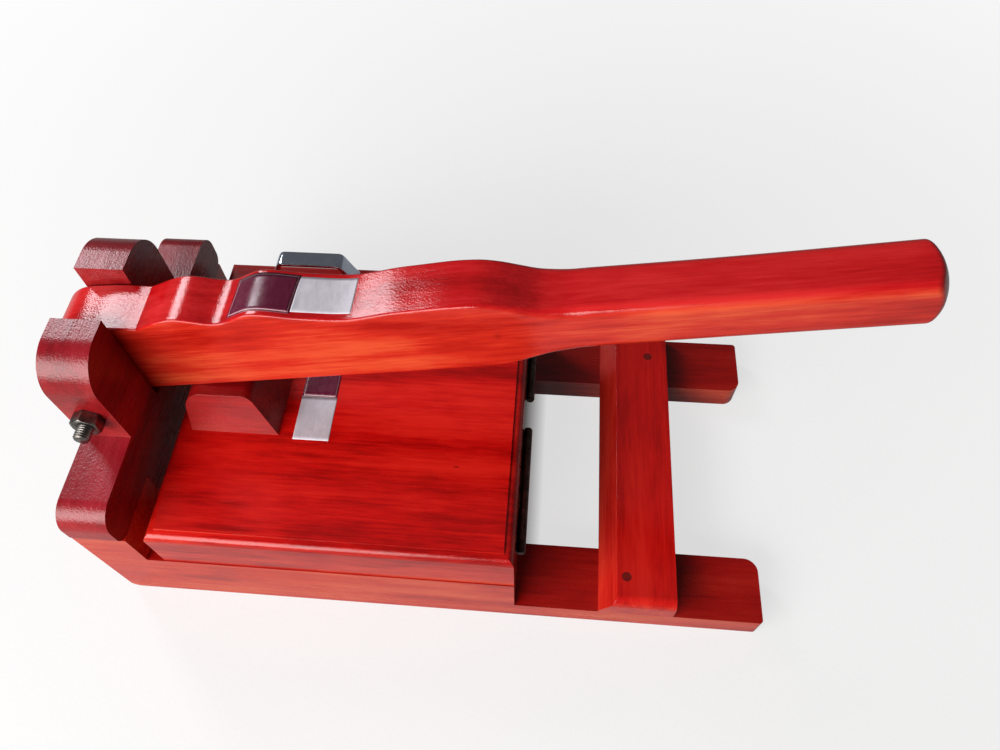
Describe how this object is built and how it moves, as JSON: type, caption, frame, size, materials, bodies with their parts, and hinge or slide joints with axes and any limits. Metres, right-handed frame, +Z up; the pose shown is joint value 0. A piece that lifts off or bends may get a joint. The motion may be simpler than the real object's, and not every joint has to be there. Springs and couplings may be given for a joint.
{
  "type": "roti press",
  "caption": "Varnished wooden flatbread press: stepped rails carry two hinged boards, and a long lever on a bolted fork bears on a block on the upper board.",
  "frame": {"origin": "on the table under the middle of the overall box", "axes": "+X from the pivot frame to the lever's grip, +Y to the side of the bow handle, +Z up"},
  "size_m": [0.517, 0.237, 0.2702],
  "materials": {
    "rail_wood": "gloss varnish over red stain",
    "frame_wood": "gloss varnish over red stain",
    "board_wood": "gloss varnish over red stain",
    "lever_wood": "gloss varnish over red stain",
    "plug_filler": "wood filler, varnished",
    "bolt_steel": "dark zinc",
    "washer_steel": "bright zinc",
    "hinge_steel": "dark plated",
    "screw_steel": "zinc",
    "handle_chrome": "polished"
  },
  "bodies": {
    "base": {"near_rail": "rail_wood", "far_rail": "rail_wood", "front_crossbar": "rail_wood", "crossbar_plugs": "plug_filler", "pivot_frame": "frame_wood", "lower_board": "board_wood", "pivot_bolt": "bolt_steel", "pivot_nut": "bolt_steel", "head_washer": "washer_steel", "lever_washers": "washer_steel", "near_hinge_lower_leaf": "hinge_steel", "near_hinge_pin": "hinge_steel", "far_hinge_lower_leaf": "hinge_steel", "far_hinge_pin": "hinge_steel", "frame_screws": "screw_steel", "board_screws": "screw_steel", "crossbar_screws": "screw_steel", "hinge_screws_lower": "screw_steel"},
    "upper_plate": {"upper_board": "board_wood", "cam_block": "frame_wood", "lift_handle": "handle_chrome", "lift_handle_screws": "screw_steel", "block_screws": "screw_steel", "near_hinge_upper_leaf": "hinge_steel", "far_hinge_upper_leaf": "hinge_steel", "hinge_screws_upper": "screw_steel"},
    "lever_arm": {"lever": "lever_wood"}
  },
  "joints": [
    {"name": "lever_pivot", "type": "hinge", "parent": "base", "child": "lever_arm", "pos_m": [-0.22202, 0, 0.16], "axis": [0, -1, 0], "range_deg": [0, 165]},
    {"name": "upper_board_hinge", "type": "hinge", "parent": "base", "child": "upper_plate", "pos_m": [0.04738, 0, 0.0892], "axis": [0, 1, 0], "range_deg": [0, 26.41]}
  ],
  "couplings": [
    {"joint": "upper_board_hinge", "follows": "lever_pivot", "ratio": 0.16}
  ]
}
